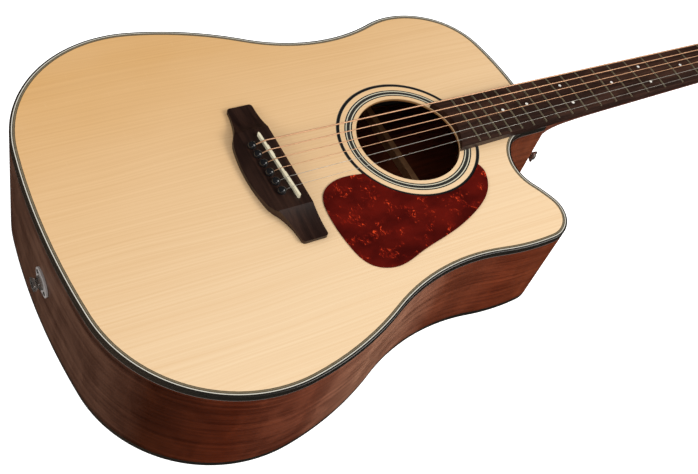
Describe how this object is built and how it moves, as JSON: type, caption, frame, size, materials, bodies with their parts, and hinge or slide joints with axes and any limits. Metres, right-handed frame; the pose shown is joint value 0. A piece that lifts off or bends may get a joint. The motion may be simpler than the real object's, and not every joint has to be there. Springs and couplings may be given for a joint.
{
  "type": "acoustic guitar",
  "caption": "Steel-string acoustic guitar with a cutaway body, glued belly bridge, pickguard, side preamp, end-pin jack and geared tuning machines.",
  "frame": {"origin": "on the flat outer face of the back, on the centre line, under the saddle line", "axes": "+X towards the headstock along the back, +Y towards the bass side, +Z out of the soundboard"},
  "size_m": [1.0505, 0.3945, 0.1304],
  "materials": {
    "spruce": "gloss lacquer over straw-coloured spruce",
    "mahogany": "gloss lacquer over dark red-brown wood",
    "neck_wood": "satin lacquer over red-brown wood",
    "inner_wood": "bare",
    "brace_spruce": "bare",
    "dark_wood": "oiled",
    "binding": "gloss black",
    "purfling": "fine light and dark lines under lacquer",
    "rosette": "rings of light and dark lines under lacquer",
    "bone": "polished ivory colour",
    "pin_plastic": "gloss black",
    "tortoise": "dark red with flecks",
    "pickup_foil": "braided shield",
    "nickel": "polished",
    "post_metal": "polished",
    "steel": "plain",
    "brass_nut": "plain",
    "fret_wire": "polished",
    "pearl": "pearl",
    "bronze_wound": "wound bronze",
    "plain_steel": "polished wire",
    "panel_plastic": "fine matt",
    "case_plastic": "moulded",
    "slider_plastic": "matt",
    "battery_shell": "plain painted shell"
  },
  "bodies": {
    "key_bass_1": {"tuner_key_bass_1": "nickel"},
    "post_bass_1": {"tuner_post_bass_1": "post_metal"},
    "key_treble_1": {"tuner_key_treble_1": "nickel"},
    "post_treble_1": {"tuner_post_treble_1": "post_metal"},
    "key_bass_2": {"tuner_key_bass_2": "nickel"},
    "post_bass_2": {"tuner_post_bass_2": "post_metal"},
    "key_treble_2": {"tuner_key_treble_2": "nickel"},
    "post_treble_2": {"tuner_post_treble_2": "post_metal"},
    "key_bass_3": {"tuner_key_bass_3": "nickel"},
    "post_bass_3": {"tuner_post_bass_3": "post_metal"},
    "key_treble_3": {"tuner_key_treble_3": "nickel"},
    "post_treble_3": {"tuner_post_treble_3": "post_metal"},
    "truss_nut": {"truss_nut": "brass_nut"},
    "slider_volume": {"slider_volume": "slider_plastic"},
    "slider_bass": {"slider_bass": "slider_plastic"},
    "slider_treble": {"slider_treble": "slider_plastic"},
    "tuner_button": {"tuner_button": "slider_plastic"},
    "battery_door": {"battery_door": "panel_plastic"},
    "guitar": {"back_binding": "binding", "back_braces": "brace_spruce", "back_lining": "inner_wood", "back_plate": "mahogany", "back_strip": "brace_spruce", "battery": "battery_shell", "bridge": "dark_wood", "bridge_pins": "pin_plastic", "bridge_plate": "inner_wood", "fret_markers": "pearl", "fretboard": "dark_wood", "frets": "fret_wire", "headstock_veneer": "dark_wood", "heel_button": "nickel", "heel_cap": "binding", "jack_barrel": "nickel", "jack_nut": "nickel", "jack_plate": "nickel", "neck": "neck_wood", "neck_block": "inner_wood", "nut": "bone", "pickguard": "tortoise", "preamp_case": "case_plastic", "preamp_panel": "panel_plastic", "rosette": "rosette", "saddle": "bone", "saddle_pickup": "pickup_foil", "side_bass": "mahogany", "side_treble": "mahogany", "soundboard": "spruce", "strings_plain": "plain_steel", "strings_wound": "bronze_wound", "tail_block": "inner_wood", "top_binding": "binding", "top_braces": "brace_spruce", "top_lining": "inner_wood", "top_purfling": "purfling", "truss_rod": "steel", "tuner_bushings": "nickel", "tuner_housings": "nickel", "wood_screws": "nickel", "x_brace": "brace_spruce"}
  },
  "joints": [
    {"name": "key_turn_bass_1", "type": "hinge", "parent": "guitar", "child": "key_bass_1", "pos_m": [0.68885, 0.02, 0.04965], "axis": [0, 1, 0], "continuous": true},
    {"name": "post_turn_bass_1", "type": "hinge", "parent": "guitar", "child": "post_bass_1", "pos_m": [0.68888, 0.02, 0.07252], "axis": [0.2898, 0, 0.9571], "continuous": true},
    {"name": "key_turn_treble_1", "type": "hinge", "parent": "guitar", "child": "key_treble_1", "pos_m": [0.68885, -0.02, 0.04965], "axis": [0, -1, 0], "continuous": true},
    {"name": "post_turn_treble_1", "type": "hinge", "parent": "guitar", "child": "post_treble_1", "pos_m": [0.68888, -0.02, 0.07252], "axis": [0.2898, 0, 0.9571], "continuous": true},
    {"name": "key_turn_bass_2", "type": "hinge", "parent": "guitar", "child": "key_bass_2", "pos_m": [0.72714, 0.022, 0.03806], "axis": [0, 1, 0], "continuous": true},
    {"name": "post_turn_bass_2", "type": "hinge", "parent": "guitar", "child": "post_bass_2", "pos_m": [0.72717, 0.022, 0.06093], "axis": [0.2898, 0, 0.9571], "continuous": true},
    {"name": "key_turn_treble_2", "type": "hinge", "parent": "guitar", "child": "key_treble_2", "pos_m": [0.72714, -0.022, 0.03806], "axis": [0, -1, 0], "continuous": true},
    {"name": "post_turn_treble_2", "type": "hinge", "parent": "guitar", "child": "post_treble_2", "pos_m": [0.72717, -0.022, 0.06093], "axis": [0.2898, 0, 0.9571], "continuous": true},
    {"name": "key_turn_bass_3", "type": "hinge", "parent": "guitar", "child": "key_bass_3", "pos_m": [0.76542, 0.024, 0.02646], "axis": [0, 1, 0], "continuous": true},
    {"name": "post_turn_bass_3", "type": "hinge", "parent": "guitar", "child": "post_bass_3", "pos_m": [0.76545, 0.024, 0.04934], "axis": [0.2898, 0, 0.9571], "continuous": true},
    {"name": "key_turn_treble_3", "type": "hinge", "parent": "guitar", "child": "key_treble_3", "pos_m": [0.76542, -0.024, 0.02646], "axis": [0, -1, 0], "continuous": true},
    {"name": "post_turn_treble_3", "type": "hinge", "parent": "guitar", "child": "post_treble_3", "pos_m": [0.76545, -0.024, 0.04934], "axis": [0.2898, 0, 0.9571], "continuous": true},
    {"name": "truss_nut_turn", "type": "hinge", "parent": "guitar", "child": "truss_nut", "pos_m": [0.24959, 0, 0.09508], "axis": [0.9988, 0, -0.0497], "range_deg": [-180, 180]},
    {"name": "volume_slide", "type": "slide", "parent": "guitar", "child": "slider_volume", "axis": [0.0497, 0, 0.9988], "range_m": [-0.01, 0.01]},
    {"name": "bass_slide", "type": "slide", "parent": "guitar", "child": "slider_bass", "axis": [0.0497, 0, 0.9988], "range_m": [-0.01, 0.01]},
    {"name": "treble_slide", "type": "slide", "parent": "guitar", "child": "slider_treble", "axis": [0.0497, 0, 0.9988], "range_m": [-0.01, 0.01]},
    {"name": "tuner_button_press", "type": "slide", "parent": "guitar", "child": "tuner_button", "axis": [-0.2566, -0.9664, 0.0128], "range_m": [0, 0.0012], "stiffness_N_per_m": 300},
    {"name": "battery_door_hinge", "type": "hinge", "parent": "guitar", "child": "battery_door", "pos_m": [0.18847, 0.15534, 0.05206], "axis": [0.0497, 0, 0.9988], "range_deg": [0, 100]}
  ],
  "couplings": [
    {"joint": "post_turn_bass_1", "follows": "key_turn_bass_1", "ratio": 0.071429},
    {"joint": "post_turn_treble_1", "follows": "key_turn_treble_1", "ratio": -0.071429},
    {"joint": "post_turn_bass_2", "follows": "key_turn_bass_2", "ratio": 0.071429},
    {"joint": "post_turn_treble_2", "follows": "key_turn_treble_2", "ratio": -0.071429},
    {"joint": "post_turn_bass_3", "follows": "key_turn_bass_3", "ratio": 0.071429},
    {"joint": "post_turn_treble_3", "follows": "key_turn_treble_3", "ratio": -0.071429}
  ]
}
